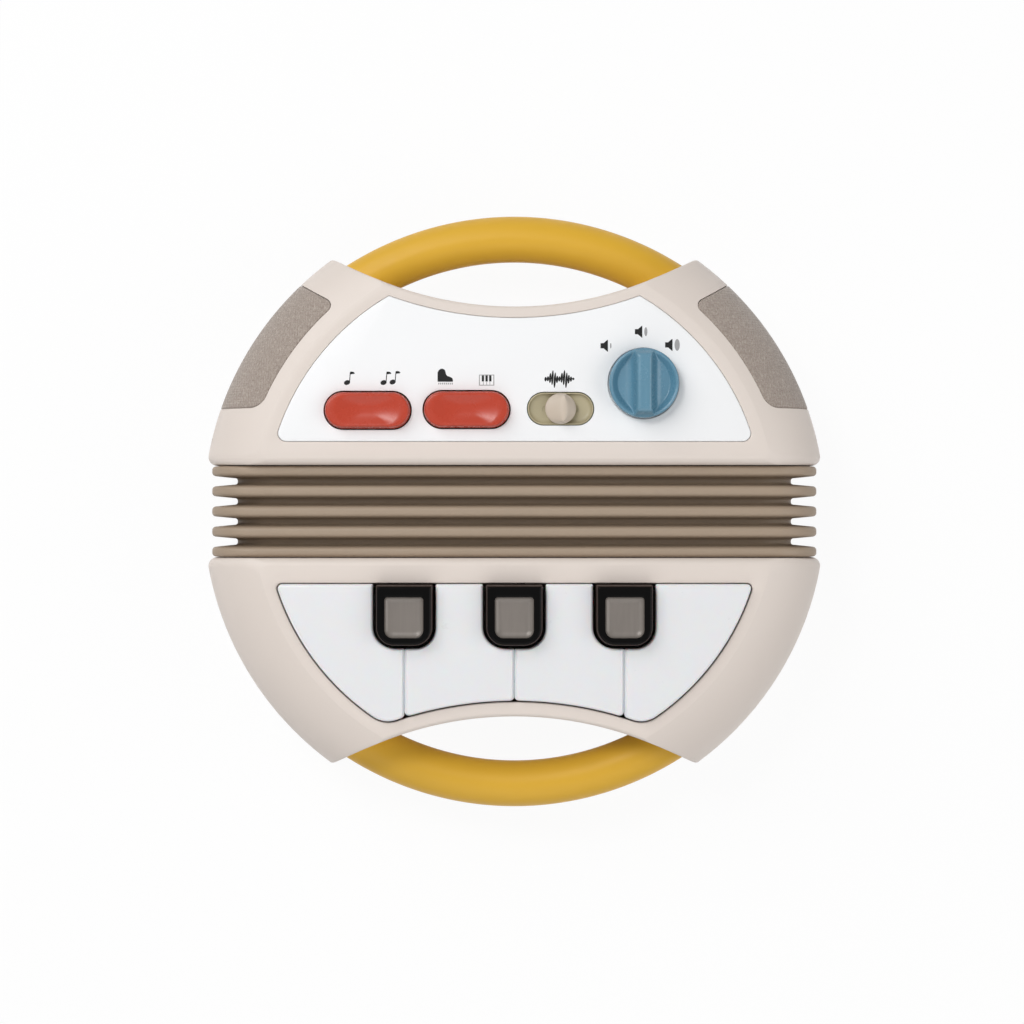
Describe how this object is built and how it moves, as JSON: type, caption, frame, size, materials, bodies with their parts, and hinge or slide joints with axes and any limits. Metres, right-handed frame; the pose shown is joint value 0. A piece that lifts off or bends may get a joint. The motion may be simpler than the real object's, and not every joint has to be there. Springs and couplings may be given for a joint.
{
  "type": "toy accordion",
  "caption": "Round toy accordion: two half-disc housings on a ribbed bellows, a tube handle at each end, a control panel with rockers, slider and knob, and a small piano keyboard.",
  "frame": {"origin": "on the surface that the toy lies on, under the middle of the bellows", "axes": "+Z out of the front face, +Y from the keyboard to the control panel, +X to the viewer's right"},
  "size_m": [0.2274, 0.221, 0.0717],
  "materials": {
    "housing": "satin moulded plastic, warm pale grey",
    "panel": "satin white plastic with small dark printed symbols",
    "white_key": "smooth white plastic",
    "black_key": "polished black plastic",
    "handle": "satin mustard yellow plastic",
    "bellows": "matt grey-brown soft rubber",
    "cloth": "taupe plain-weave speaker cloth",
    "rocker": "terracotta red plastic",
    "slider_bed": "olive plastic",
    "slider_cap": "beige plastic",
    "knob": "satin steel-blue plastic",
    "steel": "plated steel",
    "board": "green circuit board",
    "dome_rubber": "grey silicone rubber",
    "dark_plastic": "black plastic",
    "battery_jacket": "plain blue battery jacket"
  },
  "bodies": {
    "upper_half": {"upper_front_shell": "housing", "upper_back_shell": "housing", "battery_door": "housing", "control_panel": "panel", "top_handle": "handle", "bellows": "bellows", "speaker_cloth_left": "cloth", "speaker_cloth_right": "cloth", "speaker_left": "dark_plastic", "speaker_right": "dark_plastic", "rocker_switch_left": "dark_plastic", "rocker_switch_right": "dark_plastic", "slider_bed": "slider_bed", "slide_switch": "dark_plastic", "volume_potentiometer": "dark_plastic", "main_board": "board", "guide_rod_left": "steel", "guide_rod_right": "steel", "battery_contact_left": "steel", "battery_contact_right": "steel", "battery_door_screw": "steel", "link_cable": "dark_plastic", "battery_1": "battery_jacket", "battery_2": "battery_jacket", "battery_3": "battery_jacket", "upper_screw_1": "steel", "upper_screw_2": "steel", "upper_screw_3": "steel", "upper_screw_4": "steel"},
    "lower_half": {"lower_front_shell": "housing", "lower_back_shell": "housing", "bottom_handle": "handle", "key_board": "board", "key_dome_sheet": "dome_rubber", "key_pivot_rod": "steel", "guide_bush_left": "slider_bed", "guide_bush_right": "slider_bed", "lower_screw_1": "steel", "lower_screw_2": "steel", "lower_screw_3": "steel", "lower_screw_4": "steel"},
    "white_key_1": {"white_key_1": "white_key"},
    "white_key_2": {"white_key_2": "white_key"},
    "white_key_3": {"white_key_3": "white_key"},
    "white_key_4": {"white_key_4": "white_key"},
    "black_key_1": {"black_key_1": "black_key"},
    "black_key_2": {"black_key_2": "black_key"},
    "black_key_3": {"black_key_3": "black_key"},
    "rocker_left": {"rocker_left": "rocker"},
    "rocker_right": {"rocker_right": "rocker"},
    "slider_cap": {"slider_cap": "slider_cap"},
    "volume_knob": {"volume_knob": "knob"}
  },
  "joints": [
    {"name": "bellows_slide", "type": "slide", "parent": "upper_half", "child": "lower_half", "axis": [0, -1, 0], "range_m": [-0.01, 0.015], "stiffness_N_per_m": 200, "deforming": ["bellows", "link_cable"]},
    {"name": "white_key_1_press", "type": "hinge", "parent": "lower_half", "child": "white_key_1", "pos_m": [0, -0.0232, 0.0538], "axis": [1, 0, 0], "range_deg": [0, 3.5], "stiffness_Nm_per_rad": 0.5, "springref_deg": -1.15},
    {"name": "white_key_2_press", "type": "hinge", "parent": "lower_half", "child": "white_key_2", "pos_m": [0, -0.0232, 0.0538], "axis": [1, 0, 0], "range_deg": [0, 3.5], "stiffness_Nm_per_rad": 0.5, "springref_deg": -1.15},
    {"name": "white_key_3_press", "type": "hinge", "parent": "lower_half", "child": "white_key_3", "pos_m": [0, -0.0232, 0.0538], "axis": [1, 0, 0], "range_deg": [0, 3.5], "stiffness_Nm_per_rad": 0.5, "springref_deg": -1.15},
    {"name": "white_key_4_press", "type": "hinge", "parent": "lower_half", "child": "white_key_4", "pos_m": [0, -0.0232, 0.0538], "axis": [1, 0, 0], "range_deg": [0, 3.5], "stiffness_Nm_per_rad": 0.5, "springref_deg": -1.15},
    {"name": "black_key_1_press", "type": "hinge", "parent": "lower_half", "child": "black_key_1", "pos_m": [0, -0.0232, 0.0538], "axis": [1, 0, 0], "range_deg": [0, 4], "stiffness_Nm_per_rad": 0.5, "springref_deg": -1.15},
    {"name": "black_key_2_press", "type": "hinge", "parent": "lower_half", "child": "black_key_2", "pos_m": [0, -0.0232, 0.0538], "axis": [1, 0, 0], "range_deg": [0, 4], "stiffness_Nm_per_rad": 0.5, "springref_deg": -1.15},
    {"name": "black_key_3_press", "type": "hinge", "parent": "lower_half", "child": "black_key_3", "pos_m": [0, -0.0232, 0.0538], "axis": [1, 0, 0], "range_deg": [0, 4], "stiffness_Nm_per_rad": 0.5, "springref_deg": -1.15},
    {"name": "rocker_left_tilt", "type": "hinge", "parent": "upper_half", "child": "rocker_left", "pos_m": [-0.0534, 0.0368, 0.0578], "axis": [0, 1, 0], "range_deg": [-5, 5]},
    {"name": "rocker_right_tilt", "type": "hinge", "parent": "upper_half", "child": "rocker_right", "pos_m": [-0.0174, 0.0371, 0.0578], "axis": [0, 1, 0], "range_deg": [-5, 5]},
    {"name": "slider_slide", "type": "slide", "parent": "upper_half", "child": "slider_cap", "axis": [1, 0, 0], "range_m": [-0.0055, 0.0055]},
    {"name": "volume_turn", "type": "hinge", "parent": "upper_half", "child": "volume_knob", "pos_m": [0.047, 0.0466, 0.0625], "axis": [0, 0, 1], "range_deg": [-45, 45]}
  ]
}
